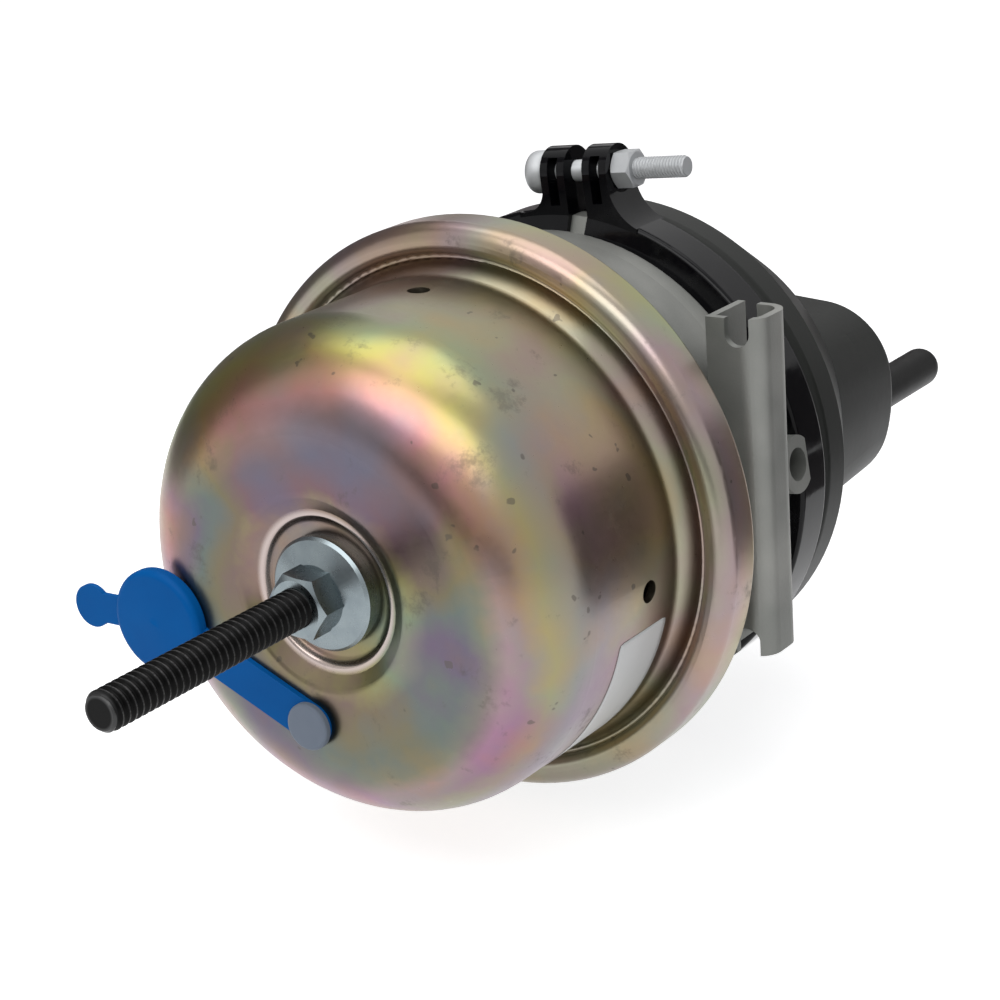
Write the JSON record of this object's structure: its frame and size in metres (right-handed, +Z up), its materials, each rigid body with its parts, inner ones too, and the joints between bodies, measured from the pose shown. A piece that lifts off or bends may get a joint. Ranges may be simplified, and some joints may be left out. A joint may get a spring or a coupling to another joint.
{
  "type": "air brake chamber",
  "caption": "Spring brake chamber for air brakes: a pressed spring housing and a service housing on a cast flange case, with a caged power spring, clamp band and push rod.",
  "frame": {"origin": "centre of the mounting face, midway between the studs", "axes": "+X along the push rod out of the mounting face, +Y and -Y through the studs, +Z up as pictured"},
  "size_m": [0.4423, 0.2163, 0.2408],
  "materials": {
    "zinc_gold": "gold zinc dichromate, glossy",
    "cast_aluminium": "cast, satin",
    "grey_steel": "dark grey paint, satin",
    "black_steel": "black paint, glossy",
    "zinc_silver": "bright zinc",
    "black_bolt": "black oxide",
    "black_sleeve": "black, satin",
    "bright_steel": "turned",
    "spring_steel": "black coating",
    "rubber": "matt",
    "black_plastic": "moulded",
    "blue_plastic": "moulded",
    "pale_plastic": "moulded"
  },
  "bodies": {
    "chamber": {"spring_housing": "zinc_gold", "flange_case": "cast_aluminium", "service_housing": "grey_steel", "clamp_band_front": "black_steel", "clamp_band_rear": "black_steel", "band_bolt_upper": "zinc_silver", "band_nut_upper": "zinc_silver", "band_bolt_lower": "zinc_silver", "band_nut_lower": "zinc_silver", "stud_front": "black_sleeve", "stud_rear": "black_sleeve", "parking_diaphragm": "rubber", "power_spring": "spring_steel", "parking_return_spring": "spring_steel", "rod_bush": "black_plastic", "rod_ring_front": "rubber", "rod_ring_rear": "rubber", "bush_clip": "bright_steel", "nut_washer": "zinc_silver", "service_diaphragm": "rubber", "service_return_spring": "spring_steel", "rod_boot": "rubber", "boot_ring": "black_steel", "strap_button": "pale_plastic"},
    "parking_piston": {"pressure_plate": "black_steel", "adapter_rod": "bright_steel", "diaphragm_retainer": "bright_steel", "adapter_plate": "bright_steel"},
    "release_nut": {"release_nut": "zinc_silver"},
    "release_bolt": {"release_bolt": "black_bolt"},
    "push_rod": {"push_plate": "bright_steel", "push_rod": "bright_steel"},
    "dust_plug": {"dust_plug": "blue_plastic"}
  },
  "joints": [
    {"name": "release_nut_turn", "type": "hinge", "parent": "chamber", "child": "release_nut", "pos_m": [-0.29, 0, 0], "axis": [-1, 0, 0], "range_deg": [0, 720]},
    {"name": "parking_slide", "type": "slide", "parent": "chamber", "child": "parking_piston", "axis": [1, 0, 0], "range_m": [0, 0.006], "deforming": ["power_spring", "parking_diaphragm", "parking_return_spring"]},
    {"name": "release_bolt_turn", "type": "hinge", "parent": "parking_piston", "child": "release_bolt", "pos_m": [-0.3, 0, 0], "axis": [1, 0, 0], "range_deg": [0, 90]},
    {"name": "service_rod_slide", "type": "slide", "parent": "chamber", "child": "push_rod", "axis": [1, 0, 0], "range_m": [0, 0.057], "stiffness_N_per_m": 1500, "springref_m": -0.04, "deforming": ["service_return_spring", "rod_boot", "service_diaphragm"]},
    {"name": "plug_swivel", "type": "hinge", "parent": "chamber", "child": "dust_plug", "pos_m": [-0.286, 0.0035, -0.048], "axis": [1, 0, 0], "range_deg": [-150, 25]}
  ],
  "couplings": [
    {"joint": "release_nut_turn", "follows": "parking_slide", "rad_per_m": 2094.4}
  ]
}
